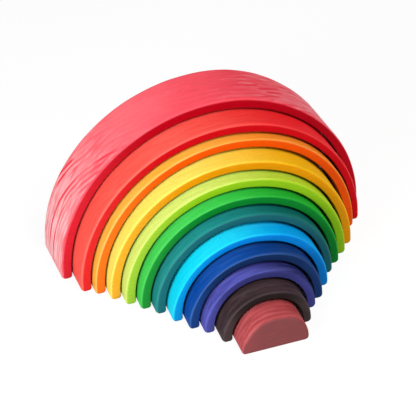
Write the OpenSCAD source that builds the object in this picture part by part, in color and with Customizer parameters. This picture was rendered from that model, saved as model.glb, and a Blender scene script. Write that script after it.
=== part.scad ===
// Rainbow stacker: nesting half-round wooden arches around a solid half-round core.
// The pieces are drawn out one after another towards the front, core first.
// The outer three stand square to each other, and the rest stand turned a little as one group.
// Millimetres. X runs across the arches, Y runs from front to back, Z runs up from the floor.

/* [Pieces] */
// Radius of the solid half-round core
core_radius = 39.7; // [25:0.1:60]
// Thickness of every arch
wall = 12.7; // [9:0.1:18]
// Play between an arch and the piece inside it
gap = 0.9; // [0.4:0.1:3]
// Depth of every piece from front to back
depth = 70; // [50:0.5:100]
// Straight foot under every half round
leg = 6; // [5:0.5:20]

/* [Edges] */
// Rounding of the outer front and back edges
rim_round = 4; // [1:0.1:5]
// Rounding of the inner front and back edges of an arch
inner_round = 2.5; // [0.5:0.1:3.5]
// Rounding of the lower edges of the feet
foot_round = 2; // [0.5:0.1:2.4]

/* [Fan] */
// How far the red arch stands out of the crimson arch
red_step = 30.5; // [0:0.5:70]
// How far the orange arch stands out of the red arch
orange_step = 10.5; // [0:0.5:70]
// How far the yellow arch stands out of the orange arch
yellow_step = 22.5; // [0:0.5:70]
// How far the lime arch stands out of the yellow arch
lime_step = 14.5; // [0:0.5:70]
// How far the green arch stands out of the lime arch
green_step = 14; // [0:0.5:70]
// How far the teal arch stands out of the green arch
teal_step = 14; // [0:0.5:70]
// How far the light blue arch stands out of the teal arch
light_blue_step = 19.5; // [0:0.5:70]
// How far the dark blue arch stands out of the light blue arch
dark_blue_step = 18.5; // [0:0.5:70]
// How far the violet arch stands out of the dark blue arch
violet_step = 13; // [0:0.5:70]
// How far the brown arch stands out of the violet arch
brown_step = 21.5; // [0:0.5:70]
// How far the rose core stands out of the brown arch
rose_step = 26.5; // [0:0.5:70]

/* [Turn] */
// Angle by which the yellow arch and all inside it stand turned in the orange arch
inner_turn = 2.5; // [0:0.5:5]
// Least play beside the turned yellow arch
turn_gap = 0.25; // [0.2:0.05:1]

/* [Hidden] */

// Pieces are numbered from the outside in: arch 0 is crimson, arch 3 is yellow, and the core comes last.
steps = [0, red_step, orange_step, yellow_step, lime_step, green_step, teal_step, light_blue_step,
         dark_blue_step, violet_step, brown_step, rose_step];
core = len(steps) - 1;
yellow = 3;

// Play inside arch n: the orange arch leaves room for the yellow one to stand turned in it.
turn_play = max(gap, turn_gap + (depth / 2 - rim_round) * sin(inner_turn));
function play(n) = n == yellow - 1 ? turn_play : gap;

function arch_inner(n) = outer(n + 1) + play(n);
function outer(n) = n == core ? core_radius : arch_inner(n) + wall;

// How far piece n is drawn out of the crimson arch, and how it stands turned
function drawn(n) = n == 0 ? 0 : steps[n] + drawn(n - 1);
function turn(n) = n < yellow ? 0 : -inner_turn;

// Middle of piece n, from the middle of the crimson arch: the inner group is drawn out along its own turned line.
function middle(n) = let (own = max(0, drawn(n) - drawn(yellow)))
    [own * sin(turn(n)), own - drawn(n) - own * cos(turn(n))];

// How far piece n reaches to the front and to the back of its middle
function reach(n) = (outer(n) - rim_round) * abs(sin(turn(n))) + (depth / 2 - rim_round) * cos(turn(n)) + rim_round;

// The fanned set is centred on the origin from front to back.
fan_front = min([for (n = [0:core]) middle(n).y - reach(n)]);
fan_back = max([for (n = [0:core]) middle(n).y + reach(n)]);
fan_middle = (fan_front + fan_back) / 2;

round_fn = 192;
edge_fn = 32;

// Flat strip from x0 to x1, set back by an edge rounding at its front and back
module strip(x0, x1, setback) {
    translate([x0, setback]) square([x1 - x0, depth - 2 * setback]);
}

// The two round corners that one edge of a section has, front and back
module corners(x, r) {
    for (y = [r, depth - r])
        translate([x, y]) circle(r, $fn = edge_fn);
}

// Section of an arch's wall, radius across and depth up
module wall_section(r_in, r_out) {
    strip(r_in, r_out, rim_round);
    strip(r_in, r_out - rim_round, inner_round);
    strip(r_in + inner_round, r_out - rim_round, 0);
    corners(r_in + inner_round, inner_round);
    corners(r_out - rim_round, rim_round);
}

// Section of one half of the core, from its centre line to its rim
module core_section() {
    strip(0, core_radius, rim_round);
    strip(0, core_radius - rim_round, 0);
    corners(core_radius - rim_round, rim_round);
}

// Upright face of a foot, with its two lower corners rounded
module foot_face(x0, x1) {
    translate([x0, foot_round]) square([x1 - x0, leg - foot_round]);
    translate([x0 + foot_round, 0]) square([x1 - x0 - 2 * foot_round, leg]);
    for (x = [x0 + foot_round, x1 - foot_round])
        translate([x, foot_round]) circle(foot_round, $fn = edge_fn);
}

// Straight foot over its footprint (the children), from x0 to x1, with rounded lower edges
module foot(x0, x1) {
    intersection() {
        linear_extrude(leg) children();
        translate([0, depth, 0]) rotate([90, 0, 0]) linear_extrude(depth) foot_face(x0, x1);
        translate([x0, 0, 0]) rotate([90, 0, 90]) linear_extrude(x1 - x0) foot_face(0, depth);
    }
}

// Section (the children) swept over the half round that stands on the feet
module half_round() {
    translate([0, depth, leg]) rotate([90, 0, 0]) rotate_extrude(angle = 180, $fn = round_fn) children();
}

// Piece n (the children, from its front face back) in its place in the fan
module placed(n) {
    translate([middle(n).x, middle(n).y - fan_middle, 0]) rotate(turn(n)) translate([0, -depth / 2, 0]) children();
}

module arch(n) {
    r_in = arch_inner(n);
    r_out = outer(n);
    placed(n) {
        half_round() wall_section(r_in, r_out);
        for (side = [0, 1])
            mirror([side, 0, 0]) foot(r_in, r_out) wall_section(r_in, r_out);
    }
}

module half_disc() {
    placed(core) {
        half_round() core_section();
        foot(-core_radius, core_radius) {
            core_section();
            mirror([1, 0]) core_section();
        }
    }
}

module crimson_arch() { color("#d62540") arch(0); }
module red_arch() { color("#dd2222") arch(1); }
module orange_arch() { color("#f97a12") arch(2); }
module yellow_arch() { color("#f7b916") arch(3); }
module lime_arch() { color("#a5cf22") arch(4); }
module green_arch() { color("#0f9a3c") arch(5); }
module teal_arch() { color("#1a7f7d") arch(6); }
module light_blue_arch() { color("#0b9be0") arch(7); }
module dark_blue_arch() { color("#12408c") arch(8); }
module violet_arch() { color("#40408f") arch(9); }
module brown_arch() { color("#46393c") arch(10); }
module rose_half_disc() { color("#b85a60") half_disc(); }

crimson_arch();
red_arch();
orange_arch();
yellow_arch();
lime_arch();
green_arch();
teal_arch();
light_blue_arch();
dark_blue_arch();
violet_arch();
brown_arch();
rose_half_disc();
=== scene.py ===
import bpy
import functools
import math
from mathutils import Matrix, Vector


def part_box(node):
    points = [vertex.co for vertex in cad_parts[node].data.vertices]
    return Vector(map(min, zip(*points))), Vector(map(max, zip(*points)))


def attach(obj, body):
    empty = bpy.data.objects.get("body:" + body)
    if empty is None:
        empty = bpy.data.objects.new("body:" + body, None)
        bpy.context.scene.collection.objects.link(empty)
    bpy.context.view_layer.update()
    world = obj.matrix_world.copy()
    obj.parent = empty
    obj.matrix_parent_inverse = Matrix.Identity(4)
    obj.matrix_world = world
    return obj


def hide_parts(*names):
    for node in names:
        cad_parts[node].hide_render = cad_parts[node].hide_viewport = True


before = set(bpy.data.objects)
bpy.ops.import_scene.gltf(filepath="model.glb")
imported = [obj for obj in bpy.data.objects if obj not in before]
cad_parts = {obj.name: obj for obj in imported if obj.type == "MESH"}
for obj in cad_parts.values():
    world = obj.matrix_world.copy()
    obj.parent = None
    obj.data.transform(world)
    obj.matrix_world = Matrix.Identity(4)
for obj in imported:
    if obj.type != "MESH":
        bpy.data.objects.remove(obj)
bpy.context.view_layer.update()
scene = bpy.context.scene
scene.view_settings.view_transform = "Standard"
print("frame loaded:", len(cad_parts), "wooden pieces")

# One block of lime wood: the pieces are sawn out of it one inside the other, so they share its rings.
block = {
    "wall": 0.0127,            # thickness of every arch
    "innerRounding": 0.0015,
    "footRounding": 0.0045,
    "slackAtFeet": 0.2,        # share of each piece's slack that is left at its foot
    "hollows": 0.0002,         # depth of the shallow hollows that sanding leaves
    "pithForward": 0.18,       # how far in front of the block the pith lies, which runs along X
    "pithHeight": 0.03,
    "ringSpacing": 0.007,
    "ringStart": 0.12,         # shifts all rings, as a share of their spacing
    "ringDrift": 0.01,         # how far the rings wander from true circles
}
innerTurn = math.radians(-2.5)     # the yellow arch and all inside it stand turned

# From the outside in. rim is the rounding of the outer edges, and rows is how many sections the round
# is made of. grooves is the depth of the rings on the round. slack is how far the left side and the
# crown were sanded inside the true round. opened is how far the front of the inside was sanded open,
# mostly on the right. lean is how far the right shoulder was sawn inside the true round: on the
# inside, at the front and at the back.
# The round is stained with stain on the right, and towards the left with the colour after it, that
# stain under a painted sheen where the light falls; the sawn faces are stained with face and take the
# painted sheen at their left end. deep colours rings and dark streaks, and pale colours rubbed wood, a
# painted sheen low down and, with the wear, a painted highlight on the rims. rings and streaks are
# strengths of the grain, plainCrown takes both off the crown, and the three strengths after it are those
# of the painted sheen low down, of the rubbed edges with their painted highlight, and of the painted
# shade that darkens the faces towards the crown. What a piece leaves out is nought.
crimsonArch = {
    "node": "crimson_arch", "turn": 0.0, "rim": 0.0038, "rows": 321, "seed": 1,
    "grooves": 0.00015, "opened": 0.0016, "lean": (0.0023, 0.0028, 0.0045),
    "stain": (0.96, 0.084, 0.118), "faded": (0.96, 0.084, 0.118),
    "face": (0.54, 0.001, 0.012), "deep": (0.86, 0.03, 0.06), "pale": (0.97, 0.55, 0.57),
    "rings": 1, "streaks": 0.5, "plainCrown": 0.9, "fadedFeet": 1, "worn": 0.03, "darkCrown": 0.2,
}
redArch = {
    "node": "red_arch", "turn": 0.0, "rim": 0.004, "rows": 301, "seed": 2,
    "grooves": 0.00015, "slack": 0.0016, "opened": 0.0016, "lean": (0, 0.0016, 0.0016),
    "stain": (0.92, 0.016, 0.024), "faded": (0.9, 0.1, 0.075),
    "face": (0.68, 0.002, 0.008), "deep": (0.86, 0.025, 0.02), "pale": (0.95, 0.24, 0.19),
    "rings": 0.2, "streaks": 0.15, "worn": 0.4, "darkCrown": 0.15,
}
orangeArch = {
    "node": "orange_arch", "turn": 0.0, "rim": 0.0032, "rows": 281, "seed": 3,
    "grooves": 0.00015, "slack": 0.0018, "opened": 0.0016,
    "stain": (0.95, 0.25, 0.004), "faded": (0.95, 0.45, 0.05),
    "face": (0.93, 0.1, 0.001), "deep": (0.93, 0.21, 0.012), "pale": (0.97, 0.58, 0.24),
    "rings": 0.2, "streaks": 0.15, "worn": 0.35, "darkCrown": 0.1,
}
yellowArch = {
    "node": "yellow_arch", "turn": innerTurn, "rim": 0.0035, "rows": 261, "seed": 4,
    "grooves": 0.00015, "slack": 0.0014, "opened": 0.0016,
    "stain": (0.95, 0.51, 0.003), "faded": (0.94, 0.76, 0.12),
    "face": (0.84, 0.32, 0.001), "deep": (0.9, 0.46, 0.03), "pale": (0.95, 0.8, 0.24),
    "rings": 0.2, "streaks": 0.15, "worn": 0.05, "darkCrown": 0.1,
}
limeArch = {
    "node": "lime_arch", "turn": innerTurn, "rim": 0.0032, "rows": 241, "seed": 5,
    "grooves": 0.00015, "slack": 0.0018, "opened": 0.0016,
    "stain": (0.48, 0.71, 0.02), "faded": (0.63, 0.78, 0.17),
    "face": (0.28, 0.54, 0.01), "deep": (0.4, 0.54, 0.05), "pale": (0.74, 0.86, 0.27),
    "rings": 0.2, "streaks": 0.15, "worn": 0.08,
}
greenArch = {
    "node": "green_arch", "turn": innerTurn, "rim": 0.0035, "rows": 221, "seed": 6,
    "grooves": 0.00015, "slack": 0.002, "opened": 0.0016,
    "stain": (0.009, 0.4, 0.02), "faded": (0.055, 0.56, 0.085),
    "face": (0.002, 0.21, 0.023), "deep": (0.012, 0.36, 0.03), "pale": (0.15, 0.64, 0.18),
    "rings": 0.2, "streaks": 0.15, "worn": 0.12,
}
tealArch = {
    "node": "teal_arch", "turn": innerTurn, "rim": 0.0045, "rows": 201, "seed": 7,
    "grooves": 0.00015, "slack": 0.0024, "opened": 0.002,
    "stain": (0.004, 0.13, 0.11), "faded": (0.012, 0.24, 0.23),
    "face": (0.011, 0.118, 0.14), "deep": (0.002, 0.12, 0.11), "pale": (0.07, 0.32, 0.29),
    "rings": 0.2, "streaks": 0.2, "worn": 0.2,
}
lightBlueArch = {
    "node": "light_blue_arch", "turn": innerTurn, "rim": 0.0032, "rows": 181, "seed": 8,
    "grooves": 0.00015, "slack": 0.0034, "opened": 0.0016,
    "stain": (0.001, 0.37, 0.87), "faded": (0.004, 0.66, 0.86),
    "face": (0.001, 0.22, 0.68), "deep": (0.001, 0.42, 0.7), "pale": (0.1, 0.68, 0.9),
    "rings": 0.2, "streaks": 0.15, "worn": 0.06,
}
darkBlueArch = {
    "node": "dark_blue_arch", "turn": innerTurn, "rim": 0.0032, "rows": 171, "seed": 9,
    "grooves": 0.00015, "slack": 0.003, "opened": 0.0016,
    "stain": (0.002, 0.034, 0.17), "faded": (0.002, 0.064, 0.33),
    "face": (0.01, 0.043, 0.17), "deep": (0.002, 0.024, 0.14), "pale": (0.09, 0.19, 0.42),
    "rings": 0.3, "streaks": 0.25, "worn": 0.4, "darkCrown": 0.45,
}
violetArch = {
    "node": "violet_arch", "turn": innerTurn, "rim": 0.004, "rows": 151, "seed": 10,
    "grooves": 0.0003, "slack": 0.003, "opened": 0.0016,
    "stain": (0.014, 0.017, 0.09), "faded": (0.09, 0.095, 0.43),
    "face": (0.064, 0.066, 0.31), "deep": (0.03, 0.03, 0.18), "pale": (0.16, 0.16, 0.54),
    "rings": 0.7, "streaks": 0.5, "worn": 0.1, "darkCrown": 0.45,
}
brownArch = {
    "node": "brown_arch", "turn": innerTurn, "rim": 0.004, "rows": 141, "seed": 11,
    "grooves": 0.0004, "slack": 0.003, "opened": 0.002,
    "stain": (0.05, 0.028, 0.034), "faded": (0.046, 0.028, 0.031),
    "face": (0.062, 0.043, 0.043), "deep": (0.012, 0.006, 0.007), "pale": (0.11, 0.082, 0.086),
    "rings": 0.7, "streaks": 0.5, "worn": 0.35, "darkCrown": 0.7,
}
roseHalfDisc = {
    "node": "rose_half_disc", "turn": innerTurn, "rim": 0.004, "rows": 181, "seed": 12,
    "grooves": 0.0006, "slack": 0.0034,
    "stain": (0.42, 0.06, 0.066), "faded": (0.47, 0.078, 0.084),
    "face": (0.255, 0.066, 0.069), "deep": (0.22, 0.02, 0.026), "pale": (0.58, 0.17, 0.18),
    "rings": 0.8, "streaks": 0.4, "worn": 0.15,
}
arches = [crimsonArch, redArch, orangeArch, yellowArch, limeArch, greenArch, tealArch, lightBlueArch,
          darkBlueArch, violetArch, brownArch]


# Shorthands for node trees, shader and geometry alike

def addNode(tree, kind, inputs=None, **settings):
    made = tree.nodes.new(kind)
    for name, value in settings.items():
        setattr(made, name, value)
    for key, value in (inputs or {}).items():
        plug(tree, made.inputs[key], value)
    return made


def plug(tree, socket, value):
    if isinstance(value, bpy.types.NodeSocket):
        tree.links.new(value, socket)
    else:
        socket.default_value = value


def calc(tree, operation, *values):
    made = addNode(tree, "ShaderNodeMath", operation=operation)
    for socket, value in zip(made.inputs, values):
        plug(tree, socket, value)
    return made.outputs[0]


def sums(tree):
    return [functools.partial(calc, tree, name) for name in ("ADD", "SUBTRACT", "MULTIPLY", "DIVIDE")]


def clamped(tree, value, low, high):
    return calc(tree, "MAXIMUM", calc(tree, "MINIMUM", value, high), low)


def smooth(tree, value, low, high, outLow=0.0, outHigh=1.0):
    inputs = {"Value": value, "From Min": low, "From Max": high, "To Min": outLow, "To Max": outHigh}
    return addNode(tree, "ShaderNodeMapRange", inputs, interpolation_type="SMOOTHSTEP").outputs["Result"]


def split(tree, vector):
    made = addNode(tree, "ShaderNodeSeparateXYZ", {0: vector})
    return made.outputs[0], made.outputs[1], made.outputs[2]


def join(tree, x, y, z):
    return addNode(tree, "ShaderNodeCombineXYZ", {0: x, 1: y, 2: z}).outputs[0]


def noise(tree, vector, scale=1.0, detail=2.0, roughness=0.5):
    inputs = {"Vector": vector, "Scale": scale, "Detail": detail, "Roughness": roughness}
    return addNode(tree, "ShaderNodeTexNoise", inputs, noise_dimensions="3D").outputs[0]


def grainNoise(tree, place, fineness, detail=2.0, roughness=0.5):
    # noise that can be finer across the wood than along it
    scaled = [calc(tree, "MULTIPLY", value, factor) for value, factor in zip(place, fineness)]
    return noise(tree, join(tree, *scaled), 1.0, detail, roughness)


# Growth rings. A range here and below says where an effect sets in and where it is full.
# A range of four numbers adds how strong it is at each of the two.
lateWood = {
    "wander": (4.0, 12.0, 12.0),                    # fineness along the pith, back from it and up
    "setsIn": (0.2, 0.6), "ends": (0.98, 0.85),     # shares of a ring's width
    "strengths": (0.1, 0.6, 0.5, 1.0),              # the weakest rings are half as strong
    "breakFineness": (45.0, 3.3, 0.7), "breaks": (0.36, 0.52),
}


def growthRings(tree, x, y, z):
    # dark late wood at the outer edge of each ring
    # x runs along the pith, y back from it and z up from the floor
    add, sub, mul, div = sums(tree)
    drift = grainNoise(tree, (x, y, z), lateWood["wander"])
    rise = sub(z, block["pithHeight"])
    fromPith = calc(tree, "SQRT", add(mul(y, y), mul(rise, rise)))
    fromPith = add(fromPith, mul(sub(drift, 0.5), block["ringDrift"]))
    count = add(div(fromPith, block["ringSpacing"]), block["ringStart"])
    share = calc(tree, "FRACT", count)
    late = mul(smooth(tree, share, *lateWood["setsIn"]), smooth(tree, share, *lateWood["ends"]))
    whole = calc(tree, "FLOOR", count)
    own = addNode(tree, "ShaderNodeTexWhiteNoise", {"W": whole}, noise_dimensions="1D").outputs["Value"]
    strength = smooth(tree, own, *lateWood["strengths"])
    broken = grainNoise(tree, (x, whole, count), lateWood["breakFineness"], 1.0)
    return mul(mul(late, strength), smooth(tree, broken, *lateWood["breaks"]))


# Sawn and sanded shapes

def newGeometryTree(name, sizes):
    tree = bpy.data.node_groups.new(name, "GeometryNodeTree")
    tree.interface.new_socket("Geometry", in_out="OUTPUT", socket_type="NodeSocketGeometry")
    for size in sizes:
        tree.interface.new_socket(size, in_out="INPUT", socket_type="NodeSocketFloat")
    tree.interface.new_socket("Material", in_out="INPUT", socket_type="NodeSocketMaterial")
    return tree, addNode(tree, "NodeGroupInput").outputs


def captured(tree, geometry, kind, value):
    made = addNode(tree, "GeometryNodeCaptureAttribute", domain="POINT")
    made.capture_items.new(kind, "Value")
    plug(tree, made.inputs["Geometry"], geometry)
    plug(tree, made.inputs[1], value)
    return made.outputs["Geometry"], made.outputs[1]


def storedAttribute(tree, geometry, name, value):
    inputs = {"Geometry": geometry, "Name": name, "Value": value}
    made = addNode(tree, "GeometryNodeStoreNamedAttribute", inputs, data_type="FLOAT", domain="POINT")
    return made.outputs["Geometry"]


def setPosition(tree, geometry, **given):
    named = {name.capitalize(): value for name, value in given.items()}
    return addNode(tree, "GeometryNodeSetPosition", {"Geometry": geometry, **named}).outputs[0]


def sweptTube(tree, profile, rows):
    # a straight tube of rows; its points are put in place afterwards, which mirrors it
    _, sub, mul, _ = sums(tree)
    line = addNode(tree, "GeometryNodeCurvePrimitiveLine", {"End": (0.0, 0.0, 1.0)}).outputs[0]
    path = addNode(tree, "GeometryNodeResampleCurve", {"Curve": line, "Count": rows}).outputs[0]
    factor = addNode(tree, "GeometryNodeSplineParameter").outputs["Factor"]
    path, along = captured(tree, path, "FLOAT", factor)
    position = addNode(tree, "GeometryNodeInputPosition").outputs[0]
    tangent = addNode(tree, "GeometryNodeInputTangent").outputs[0]
    profile, place = captured(tree, profile, "VECTOR", position)
    profile, run = captured(tree, profile, "VECTOR", tangent)
    inputs = {"Curve": path, "Profile Curve": profile, "Fill Caps": True}
    tube = addNode(tree, "GeometryNodeCurveToMesh", inputs).outputs[0]
    tube = addNode(tree, "GeometryNodeFlipFaces", {"Mesh": tube}).outputs[0]
    placeX, placeY, _ = split(tree, place)
    runX, runY, _ = split(tree, run)
    outward = calc(tree, "SIGN", sub(mul(placeX, runY), mul(placeY, runX)))
    return tube, along, placeX, placeY, mul(runY, outward), mul(mul(runX, -1.0), outward)


def roundedInset(tree, distance, radius):
    # how far a quarter round has drawn in, that far from the end
    _, sub, mul, _ = sums(tree)
    inside = sub(radius, clamped(tree, distance, 0.0, radius))
    chord = calc(tree, "SQRT", calc(tree, "MAXIMUM", sub(mul(radius, radius), mul(inside, inside)), 0.0))
    return sub(radius, chord)


def inPlace(tree, size, x, deep, z):
    # from the piece's own middle to its turned place in the fan
    add, sub, mul, _ = sums(tree)
    sine = calc(tree, "SINE", size["Turn"])
    cosine = calc(tree, "COSINE", size["Turn"])
    right = add(sub(mul(x, cosine), mul(deep, sine)), size["Middle X"])
    back = add(add(mul(x, sine), mul(deep, cosine)), size["Middle Y"])
    return join(tree, right, back, z)


sanding = {"hollowFineness": 28.0, "hollows": (0.3, 0.7), "aboveFloor": (0.002, 0.012)}


def handFinished(tree, geometry, size, x, deep, z, outer):
    # sanding only takes wood away: shallow hollows everywhere, and grooves along the rings on the round
    add, _, mul, _ = sums(tree)
    shifted = join(tree, x, add(deep, size["Seed"]), z)
    hollow = smooth(tree, noise(tree, shifted, sanding["hollowFineness"], 1.0), *sanding["hollows"])
    fromPith = add(deep, add(mul(size["Depth"], 0.5), block["pithForward"]))
    groove = mul(growthRings(tree, x, fromPith, z), outer)
    taken = add(mul(hollow, size["Hollows"]), mul(groove, size["Grooves"]))
    taken = mul(taken, smooth(tree, z, *sanding["aboveFloor"]))
    normal = addNode(tree, "GeometryNodeInputNormal").outputs[0]
    push = addNode(tree, "ShaderNodeVectorMath", {0: normal, "Scale": mul(taken, -1.0)}, operation="SCALE")
    return setPosition(tree, geometry, offset=push.outputs[0])


def finishTree(tree, geometry, material):
    smoothed = addNode(tree, "GeometryNodeSetShadeSmooth", {"Geometry": geometry}).outputs[0]
    realized = addNode(tree, "GeometryNodeRealizeInstances", {"Geometry": smoothed}).outputs[0]
    painted = addNode(tree, "GeometryNodeSetMaterial", {"Geometry": realized, "Material": material})
    addNode(tree, "NodeGroupOutput", {"Geometry": painted.outputs[0]})


sharedSizes = ["Outer Radius", "Depth", "Leg", "Middle X", "Middle Y", "Turn", "Rim Rounding",
               "Foot Rounding", "Rows", "Hollows", "Grooves", "Slack", "Seed"]
archSizes = ["Wall", "Inner Rounding", "Opened", "Lean Inside", "Lean Front", "Lean Back"]
archMesh = {
    "roundPoints": 7, "outerCuts": 44, "innerCuts": 9, "endDensity": 0.97,
    "longSide": 0.999,               # share of half the wall beyond which a point lies on a long side
}
archSawn = {
    "rightSide": (-0.15, -0.75),     # cosine of the angle, from the crown to the right shoulder
    "overFeet": (0.0, 0.5),          # sine of the angle, from the feet up
    "openedDepth": 0.35,             # how far back the inside is opened, as a share of the depth
    "openedLeft": 0.1,               # how much of the opening the left side has
    "face": (0.7, 0.97), "inside": (-0.1, -0.6), "outside": (0.4, 0.9),     # by the section's normal
}


def sawnArchTree():
    tree, size = newGeometryTree("sawnArch", sharedSizes + archSizes)
    add, sub, mul, div = sums(tree)
    halfWall = mul(size["Wall"], 0.5)

    # section of the wall: a rectangle with its corners rounded and then its long sides cut up
    inputs = {"Width": size["Wall"], "Height": size["Depth"]}
    plain = addNode(tree, "GeometryNodeCurvePrimitiveQuadrilateral", inputs).outputs[0]
    cornerX, _, _ = split(tree, addNode(tree, "GeometryNodeInputPosition").outputs[0])
    isOuter = calc(tree, "GREATER_THAN", cornerX, 0.0)
    rounding = add(mul(isOuter, sub(size["Rim Rounding"], size["Inner Rounding"])), size["Inner Rounding"])
    inputs = {"Curve": plain, "Radius": rounding, "Count": archMesh["roundPoints"]}
    rounded = addNode(tree, "GeometryNodeFilletCurve", inputs, mode="POLY").outputs[0]
    index = addNode(tree, "GeometryNodeInputIndex").outputs[0]
    place = calc(tree, "MODULO", index, archMesh["roundPoints"] + 1.0)
    endsCorner = calc(tree, "GREATER_THAN", place, archMesh["roundPoints"] - 0.5)
    longSide = mul(halfWall, archMesh["longSide"])
    isLong = calc(tree, "GREATER_THAN", calc(tree, "ABSOLUTE", cornerX), longSide)
    longCuts = add(mul(isOuter, archMesh["outerCuts"] - archMesh["innerCuts"]), archMesh["innerCuts"])
    cuts = mul(mul(endsCorner, isLong), longCuts)
    section = addNode(tree, "GeometryNodeSubdivideCurve", {"Curve": rounded, "Cuts": cuts}).outputs[0]
    tube, along, placeX, placeY, normalX, normalY = sweptTube(tree, section, size["Rows"])

    # rows run up the left foot, over the round and down the right foot, closer together at the ends
    wave = calc(tree, "SINE", mul(along, math.tau))
    eased = sub(along, mul(wave, archMesh["endDensity"] / math.tau))
    length = add(mul(size["Outer Radius"], math.pi), mul(size["Leg"], 2.0))
    run = mul(eased, length)
    fromEnd = calc(tree, "MINIMUM", run, sub(length, run))
    angle = clamped(tree, div(sub(run, size["Leg"]), size["Outer Radius"]), 0.0, math.pi)
    sine = calc(tree, "SINE", angle)
    cosine = calc(tree, "COSINE", angle)
    below = calc(tree, "MINIMUM", sub(fromEnd, size["Leg"]), 0.0)

    # the foot draws in across by its rounding, and half as far from front to back
    inset = roundedInset(tree, fromEnd, size["Foot Rounding"])
    across = mul(placeX, sub(1.0, div(inset, halfWall)))
    deep = mul(placeY, sub(1.0, div(inset, size["Depth"])))

    # what sawing and sanding took off the true round
    outerShare = smooth(tree, across, 0.0, halfWall)
    innerShare = smooth(tree, mul(across, -1.0), 0.0, halfWall)
    isRight = smooth(tree, cosine, *archSawn["rightSide"])
    backShare = add(div(deep, size["Depth"]), 0.5)
    lean = add(mul(sub(size["Lean Back"], size["Lean Front"]), backShare), size["Lean Front"])
    lean = add(mul(lean, outerShare), mul(size["Lean Inside"], innerShare))
    overFeet = smooth(tree, sine, *archSawn["overFeet"], block["slackAtFeet"], 1.0)
    slack = mul(mul(mul(size["Slack"], overFeet), outerShare), sub(1.0, isRight))
    opened = mul(mul(size["Opened"], innerShare), smooth(tree, backShare, archSawn["openedDepth"], 0.0))
    opened = mul(opened, add(mul(isRight, 1.0 - archSawn["openedLeft"]), archSawn["openedLeft"]))
    radius = add(sub(size["Outer Radius"], halfWall), across)
    radius = add(sub(sub(radius, mul(lean, isRight)), slack), opened)
    x = mul(mul(radius, cosine), -1.0)
    z = add(add(size["Leg"], below), mul(radius, sine))
    placed = setPosition(tree, tube, position=inPlace(tree, size, x, deep, z))

    # masks for the stain, the painted rim highlight and the painted shade on the insides; the product
    # of the squares is a quarter at most, halfway round an edge
    edge = mul(mul(mul(normalX, normalX), mul(normalY, normalY)), 4.0)
    face = smooth(tree, calc(tree, "ABSOLUTE", normalY), *archSawn["face"])
    placed = storedAttribute(tree, placed, "rim", edge)
    placed = storedAttribute(tree, placed, "face", face)
    placed = storedAttribute(tree, placed, "inside", smooth(tree, normalX, *archSawn["inside"]))
    outer = smooth(tree, normalX, *archSawn["outside"])
    finished = handFinished(tree, placed, size, x, deep, z, outer)
    finishTree(tree, finished, size["Material"])
    return tree


discMesh = {
    "archPoints": 96, "footPoints": 8, "outlinePoints": 240,
    "faceZone": 0.02,           # how much of the rows' run each face takes
    "faceMiddle": 0.02,         # share of the face that its cap closes
    "nearlyMeeting": 0.9999,    # share of the radius by which the upper corners are rounded
}
discSawn = {
    "lowEdge": 0.5,             # rounding of the lower front edge, as a share of the feet's
    "edgeGrows": 0.02,          # height in which it grows to the rim's rounding
    "leftSide": (0.75, 0.15), "overFeet": (0.0, 0.5),                # shares of the radius
    "face": (0.4, 0.05), "roundStarts": (0.0, 0.003), "outside": (-0.5, 0.0),
}


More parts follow.
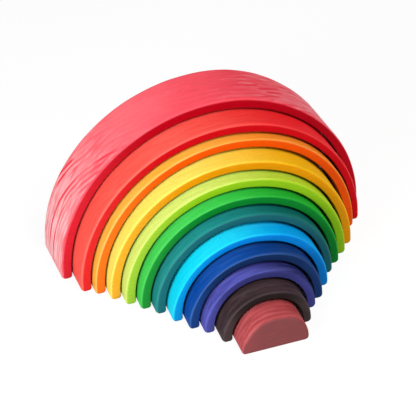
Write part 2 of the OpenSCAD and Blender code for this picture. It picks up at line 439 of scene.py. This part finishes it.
def sawnHalfDiscTree():
    tree, size = newGeometryTree("sawnHalfDisc", sharedSizes)
    add, sub, mul, div = sums(tree)
    halfDepth = mul(size["Depth"], 0.5)
    height = add(size["Outer Radius"], size["Leg"])
    halfHeight = mul(height, 0.5)

    # outline of the face: a rectangle whose upper corners are rounded until they meet
    inputs = {"Width": mul(size["Outer Radius"], 2.0), "Height": height}
    plain = addNode(tree, "GeometryNodeCurvePrimitiveQuadrilateral", inputs).outputs[0]
    _, cornerY, _ = split(tree, addNode(tree, "GeometryNodeInputPosition").outputs[0])
    isTop = calc(tree, "GREATER_THAN", cornerY, 0.0)
    topRound = mul(mul(isTop, size["Outer Radius"]), discMesh["nearlyMeeting"])
    lowRound = mul(sub(1.0, isTop), size["Foot Rounding"])
    points = add(mul(isTop, discMesh["archPoints"] - discMesh["footPoints"]), discMesh["footPoints"])
    inputs = {"Curve": plain, "Radius": add(topRound, lowRound), "Count": points}
    rounded = addNode(tree, "GeometryNodeFilletCurve", inputs, mode="POLY").outputs[0]
    inputs = {"Curve": rounded, "Count": discMesh["outlinePoints"]}
    outline = addNode(tree, "GeometryNodeResampleCurve", inputs).outputs[0]
    tube, along, placeX, placeY, normalX, normalY = sweptTube(tree, outline, size["Rows"])

    # rows run over the front face from its middle, back along the round, and over the back face
    zone = discMesh["faceZone"]
    run = sub(mul(along, add(size["Depth"], 2.0 * zone)), zone)
    fromFace = calc(tree, "MINIMUM", run, sub(size["Depth"], run))
    ground = add(placeY, halfHeight)
    lowEdge = mul(size["Foot Rounding"], discSawn["lowEdge"])
    grown = add(size["Leg"], discSawn["edgeGrows"])
    edgeRound = smooth(tree, ground, size["Leg"], grown, lowEdge, size["Rim Rounding"])
    inset = roundedInset(tree, fromFace, edgeRound)
    shrink = clamped(tree, add(div(fromFace, zone), 1.0), discMesh["faceMiddle"], 1.0)
    x = mul(sub(placeX, mul(normalX, inset)), shrink)
    z = add(mul(sub(placeY, mul(normalY, inset)), shrink), halfHeight)
    deep = sub(clamped(tree, run, 0.0, size["Depth"]), halfDepth)

    # what sanding took off the true round
    isLeft = smooth(tree, div(x, size["Outer Radius"]), *discSawn["leftSide"])
    lift = div(sub(z, size["Leg"]), size["Outer Radius"])
    overFeet = smooth(tree, lift, *discSawn["overFeet"], block["slackAtFeet"], 1.0)
    slack = mul(div(mul(size["Slack"], overFeet), size["Outer Radius"]), isLeft)
    x = sub(x, mul(x, slack))
    z = sub(z, mul(calc(tree, "MAXIMUM", sub(z, size["Leg"]), 0.0), slack))
    placed = setPosition(tree, tube, position=inPlace(tree, size, x, deep, z))

    # masks for the stain and the painted rim highlight
    roundShare = div(fromFace, edgeRound)
    edge = calc(tree, "SINE", mul(clamped(tree, roundShare, 0.0, 1.0), math.pi))
    placed = storedAttribute(tree, placed, "rim", edge)
    placed = storedAttribute(tree, placed, "face", smooth(tree, roundShare, *discSawn["face"]))
    behindFace = smooth(tree, fromFace, *discSawn["roundStarts"])
    outer = mul(behindFace, smooth(tree, normalY, *discSawn["outside"]))
    finished = handFinished(tree, placed, size, x, deep, z, outer)
    finishTree(tree, finished, size["Material"])
    return tree


# Stained wood
grainColours = ["Stain", "Faded", "Face", "Deep", "Pale"]
grainShares = ["Rings", "Streaks", "Plain Crown", "Faded Feet", "Worn", "Dark Crown", "Seed"]
grainPlaces = ["Half Width", "On Rim", "On Face", "On Inside"]
grainLook = {
    "patchFineness": 17.0, "patches": (0.4, 0.6, 0.45, 1.0),
    "crownLeft": (-0.13, -0.08), "crownRight": (0.06, 0.0),          # metres across
    "streakFineness": (10.0, 240.0, 50.0), "darkStreaks": (0.46, 0.66),
    "paleStreaks": (0.46, 0.34), "paleStreakShare": 0.45,
    "fibreFineness": (60.0, 900.0, 900.0), "fibreRoughness": 0.6, "fibreShade": (0.3, 0.7, 0.92, 1.04),
    "mottleFineness": 9.0, "mottle": (0.4, 0.75, 0.0, 0.1),
    # painted sheen that pales the round low down
    "fadedFeet": (0.2, 0.03),                                        # metres above the floor
    # painted sheen towards the left of the round and at the left end of the faces
    "sheenToLeft": (0.6, -0.5), "sheenLeftEnd": (-0.3, -0.9, 0.0, 0.2),        # shares of half the width
    # rims rubbed and with a painted highlight, more on the left; painted shade on the faces towards the
    # crown
    "litAndHandled": (0.2, -0.8, 0.4, 1.0), "crowned": (0.35, 0.9),
    "insideShade": 0.35,                                             # painted shade on the insides, which darkens the gaps between the pieces
    "roughness": {"base": 0.5, "fibre": 0.12, "rim": 0.04},          # the rim's share is taken off
    "height": {"fibre": 0.5, "rings": 0.5},
}
woodFinish = {"bumpStrength": 0.35, "bumpDistance": 0.0002, "ior": 1.48, "specular": 0.06}


def mixed(tree, share, first, second, blend="MIX"):
    inputs = {0: share, 6: first, 7: second}
    return addNode(tree, "ShaderNodeMix", inputs, data_type="RGBA", blend_type=blend).outputs[2]


def shaded(tree, colour, shade):
    return mixed(tree, 1.0, colour, join(tree, shade, shade, shade), "MULTIPLY")


def stainedGrainGroup():
    group = bpy.data.node_groups.new("stainedGrain", "ShaderNodeTree")
    group.interface.new_socket("Vector", in_out="INPUT", socket_type="NodeSocketVector")
    for name in grainColours:
        group.interface.new_socket(name, in_out="INPUT", socket_type="NodeSocketColor")
    for name in grainShares + grainPlaces:
        group.interface.new_socket(name, in_out="INPUT", socket_type="NodeSocketFloat")
    for name, kind in (("Color", "Color"), ("Roughness", "Float"), ("Height", "Float")):
        group.interface.new_socket(name, in_out="OUTPUT", socket_type="NodeSocket" + kind)
    given = addNode(group, "NodeGroupInput").outputs
    look = grainLook
    add, sub, mul, div = sums(group)
    x, y, z = split(group, given["Vector"])
    fromMiddle = div(x, given["Half Width"])

    # rings and streaks: the rings show in patches only, which differ from piece to piece
    seeded = join(group, x, add(y, given["Seed"]), z)
    patch = smooth(group, noise(group, seeded, look["patchFineness"]), *look["patches"])
    crown = mul(smooth(group, x, *look["crownLeft"]), smooth(group, x, *look["crownRight"]))
    offCrown = sub(1.0, mul(crown, given["Plain Crown"]))
    line = mul(mul(growthRings(group, x, y, z), mul(patch, offCrown)), given["Rings"])
    streak = grainNoise(group, (x, y, z), look["streakFineness"])
    streaked = mul(offCrown, given["Streaks"])
    paleStreak = mul(smooth(group, streak, *look["paleStreaks"]), mul(streaked, look["paleStreakShare"]))
    darkStreak = mul(smooth(group, streak, *look["darkStreaks"]), streaked)

    # the round, from the stained right to a painted sheen on the left
    kept = calc(group, "MAXIMUM", given["On Rim"], given["On Face"])
    # a painted sheen pales the round low down, but not its rims and faces
    lowSheen = mul(mul(smooth(group, z, *look["fadedFeet"]), sub(1.0, kept)), given["Faded Feet"])
    mottle = smooth(group, noise(group, seeded, look["mottleFineness"], 3.0), *look["mottle"])
    colour = mixed(group, smooth(group, fromMiddle, *look["sheenToLeft"]), given["Stain"], given["Faded"])
    for share in (lowSheen, mottle, paleStreak):
        colour = mixed(group, share, colour, given["Pale"])
    colour = mixed(group, calc(group, "MAXIMUM", line, darkStreak), colour, given["Deep"])

    # the sawn faces, which take the painted sheen at their left end
    sheenLeftEnd = smooth(group, fromMiddle, *look["sheenLeftEnd"])
    # painted shade: the faces darken towards the crown
    crowned = smooth(group, div(z, given["Half Width"]), *look["crowned"])
    faceColour = mixed(group, sheenLeftEnd, given["Face"], given["Faded"])
    faceColour = shaded(group, faceColour, sub(1.0, mul(crowned, given["Dark Crown"])))
    colour = mixed(group, given["On Face"], colour, faceColour)

    # fibres everywhere, rubbed edges that also carry a painted highlight, and painted shade on the insides
    fibre = grainNoise(group, (x, y, z), look["fibreFineness"], 2.0, look["fibreRoughness"])
    colour = shaded(group, colour, smooth(group, fibre, *look["fibreShade"]))
    # the rims are rubbed and carry a painted highlight, most on the left where the light falls
    litAndHandled = smooth(group, fromMiddle, *look["litAndHandled"])
    worn = mul(mul(given["On Rim"], given["On Rim"]), mul(given["Worn"], litAndHandled))
    colour = mixed(group, worn, colour, given["Pale"])
    # painted shade: the insides are darkened, which darkens the gaps between the pieces
    colour = shaded(group, colour, smooth(group, given["On Inside"], 0.0, 1.0, 1.0, look["insideShade"]))

    parts = look["roughness"]
    rough = add(sub(mul(fibre, parts["fibre"]), mul(given["On Rim"], parts["rim"])), parts["base"])
    parts = look["height"]
    height = sub(mul(fibre, parts["fibre"]), mul(line, parts["rings"]))
    addNode(group, "NodeGroupOutput", {"Color": colour, "Roughness": rough, "Height": height})
    return group


grainGroup = stainedGrainGroup()


def colourName(piece):
    return piece["node"].replace("_arch", "").replace("_half_disc", "")


def settingName(socketName):
    joined = socketName.replace(" ", "")
    return joined[0].lower() + joined[1:]


def stainedWood(piece, middle, depth, radius):
    material = bpy.data.materials.new(colourName(piece) + "StainedWood")
    material.use_nodes = True
    tree = material.node_tree
    tree.nodes.clear()
    unturn = Matrix.Rotation(-piece["turn"], 3, "Z")
    toBlock = Vector((0.0, block["pithForward"] + depth / 2, 0.0)) - unturn @ middle
    blockPlace = addNode(tree, "ShaderNodeMapping", {
        "Vector": addNode(tree, "ShaderNodeTexCoord").outputs["Object"],
        "Location": toBlock,
        "Rotation": (0.0, 0.0, -piece["turn"]),
    })
    grain = addNode(tree, "ShaderNodeGroup", node_tree=grainGroup)
    plug(tree, grain.inputs["Vector"], blockPlace.outputs[0])
    for name in grainColours:
        grain.inputs[name].default_value = (*piece[settingName(name)], 1.0)
    for name in grainShares:
        grain.inputs[name].default_value = piece.get(settingName(name), 0.0)
    grain.inputs["Half Width"].default_value = radius
    for name in ("rim", "face", "inside"):
        mask = addNode(tree, "ShaderNodeAttribute", attribute_name=name).outputs["Fac"]
        plug(tree, grain.inputs["On " + name.capitalize()], mask)
    bump = addNode(tree, "ShaderNodeBump", {
        "Strength": woodFinish["bumpStrength"],
        "Distance": woodFinish["bumpDistance"],
        "Height": grain.outputs["Height"],
    })
    shader = addNode(tree, "ShaderNodeBsdfPrincipled", {
        "Base Color": grain.outputs["Color"],
        "Roughness": grain.outputs["Roughness"],
        "Normal": bump.outputs[0],
        "IOR": woodFinish["ior"],
        "Specular IOR Level": woodFinish["specular"],
    })
    addNode(tree, "ShaderNodeOutputMaterial", {"Surface": shader.outputs[0]})
    return material


# The crimson arch stands square, so its box gives the sizes that all pieces share.
crimsonLow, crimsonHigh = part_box("crimson_arch")
depth = crimsonHigh.y - crimsonLow.y
leg = crimsonHigh.z - (crimsonHigh.x - crimsonLow.x) / 2


def makePiece(piece, tree):
    leanInside, leanFront, leanBack = piece.get("lean", (0.0, 0.0, 0.0))
    low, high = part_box(piece["node"])
    middle = Vector(((low.x + high.x) / 2, (low.y + high.y) / 2, 0.0))
    radius = high.z - leg
    sizes = {
        "Outer Radius": radius, "Wall": block["wall"], "Depth": depth, "Leg": leg,
        "Middle X": middle.x, "Middle Y": middle.y, "Turn": piece["turn"], "Rim Rounding": piece["rim"],
        "Inner Rounding": block["innerRounding"], "Foot Rounding": block["footRounding"],
        "Rows": float(piece["rows"]), "Hollows": block["hollows"], "Grooves": piece["grooves"],
        "Slack": piece.get("slack", 0.0), "Opened": piece.get("opened", 0.0),
        "Lean Inside": leanInside, "Lean Front": leanFront, "Lean Back": leanBack,
        "Seed": float(piece["seed"]), "Material": stainedWood(piece, middle, depth, radius),
    }
    carrier = bpy.data.objects.new("carrier", bpy.data.meshes.new("carrier"))
    scene.collection.objects.link(carrier)
    modifier = carrier.modifiers.new("sawn", "NODES")
    modifier.node_group = tree
    for socket in tree.interface.items_tree:
        if socket.in_out == "INPUT":
            modifier[socket.identifier] = sizes[socket.name]
    carrier.update_tag()
    graph = bpy.context.evaluated_depsgraph_get()
    finished = carrier.evaluated_get(graph)
    mesh = bpy.data.meshes.new_from_object(finished, preserve_all_data_layers=True, depsgraph=graph)
    bpy.data.objects.remove(carrier)
    made = bpy.data.objects.new(piece["node"] + "_wood", mesh)
    scene.collection.objects.link(made)
    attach(made, piece["node"])
    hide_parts(piece["node"])
    print(piece["node"], len(mesh.vertices), "points,", len(mesh.polygons), "faces")


archTree = sawnArchTree()
halfDiscTree = sawnHalfDiscTree()
for piece in arches:
    makePiece(piece, archTree)
makePiece(roseHalfDisc, halfDiscTree)
print("pieces made")

# Floor, world and lights
studio = {
    "floorHalf": 6.0,
    "floorColour": (0.65, 0.65, 0.65, 1.0),
    "shadowShare": 0.22,          # how much of its own light and shadow the camera sees on the floor
    "floorWhite": 0.88,           # plain white that it sees besides
    "worldColour": (1.0, 1.0, 1.0, 1.0), "worldStrength": 0.26, "worldSeen": 1.0,
    "aim": (0.0, 0.0, 0.05),
    "keyPlace": (-0.85, -0.5, 0.55), "keySize": 0.5, "keyPower": 8.8,
    "topPlace": (0.5, -0.9, 1.9), "topSize": 1.2, "topPower": 26.0,
}


def seenDirectly(tree):
    # by the camera, in gloss or through glass
    path = addNode(tree, "ShaderNodeLightPath").outputs
    shown = calc(tree, "MAXIMUM", path["Is Camera Ray"], path["Is Glossy Ray"])
    return calc(tree, "MAXIMUM", shown, path["Is Transmission Ray"])


def makeFloor():
    half = studio["floorHalf"]
    corners = [(-half, -half, 0), (half, -half, 0), (half, half, 0), (-half, half, 0)]
    mesh = bpy.data.meshes.new("floor")
    mesh.from_pydata(corners, [], [(0, 1, 2, 3)])
    floor = bpy.data.objects.new("floor", mesh)
    scene.collection.objects.link(floor)
    material = bpy.data.materials.new("paleFloor")
    material.use_nodes = True
    tree = material.node_tree
    tree.nodes.clear()
    lit = addNode(tree, "ShaderNodeBsdfDiffuse", {"Color": studio["floorColour"]}).outputs[0]
    dimmed = [channel * studio["shadowShare"] for channel in studio["floorColour"][:3]] + [1.0]
    dim = addNode(tree, "ShaderNodeBsdfDiffuse", {"Color": dimmed}).outputs[0]
    white = addNode(tree, "ShaderNodeEmission", {"Strength": studio["floorWhite"]}).outputs[0]
    pale = addNode(tree, "ShaderNodeAddShader", {0: dim, 1: white}).outputs[0]
    surface = addNode(tree, "ShaderNodeMixShader", {0: seenDirectly(tree), 1: lit, 2: pale}).outputs[0]
    addNode(tree, "ShaderNodeOutputMaterial", {"Surface": surface})
    mesh.materials.append(material)


def makeWorld():
    world = bpy.data.worlds.new("studio")
    world.use_nodes = True
    tree = world.node_tree
    tree.nodes.clear()
    colour = studio["worldColour"]
    lit = addNode(tree, "ShaderNodeBackground", {"Color": colour, "Strength": studio["worldStrength"]})
    seen = addNode(tree, "ShaderNodeBackground", {"Color": colour, "Strength": studio["worldSeen"]})
    inputs = {0: seenDirectly(tree), 1: lit.outputs[0], 2: seen.outputs[0]}
    surface = addNode(tree, "ShaderNodeMixShader", inputs).outputs[0]
    addNode(tree, "ShaderNodeOutputWorld", {"Surface": surface})
    scene.world = world


def softLight(name):
    place = Vector(studio[name + "Place"])
    light = bpy.data.lights.new(name, "AREA")
    light.shape = "DISK"
    light.size = studio[name + "Size"]
    light.energy = studio[name + "Power"]
    lamp = bpy.data.objects.new(name, light)
    lamp.location = place
    lamp.rotation_euler = (Vector(studio["aim"]) - place).to_track_quat("-Z", "Y").to_euler()
    scene.collection.objects.link(lamp)


makeFloor()
makeWorld()
softLight("key")
softLight("top")
print("studio lit")

# Camera: a long lens from the front left, looking down
view = {
    "eye": (-0.5773, -1.5087, 1.332), "azimuth": -19.89, "elevation": 37.39, "roll": -2.28,
    "lens": 155.6, "sensor": 36.0,
}


def makeCamera():
    azimuth, elevation, roll = (math.radians(view[key]) for key in ("azimuth", "elevation", "roll"))
    level = math.cos(elevation)
    back = Vector((math.sin(azimuth) * level, -math.cos(azimuth) * level, math.sin(elevation)))
    right = (-back).cross(Vector((0.0, 0.0, 1.0))).normalized()
    up = right.cross(-back)
    rolledRight = right * math.cos(roll) + up * math.sin(roll)
    rolledUp = up * math.cos(roll) - right * math.sin(roll)
    lens = bpy.data.cameras.new("camera")
    lens.lens = view["lens"]
    lens.sensor_width = view["sensor"]
    lens.sensor_fit = "HORIZONTAL"
    camera = bpy.data.objects.new("camera", lens)
    turn = Matrix((rolledRight, rolledUp, back)).transposed().to_4x4()
    camera.matrix_world = Matrix.Translation(Vector(view["eye"])) @ turn
    scene.collection.objects.link(camera)
    scene.camera = camera


makeCamera()
print("camera set")
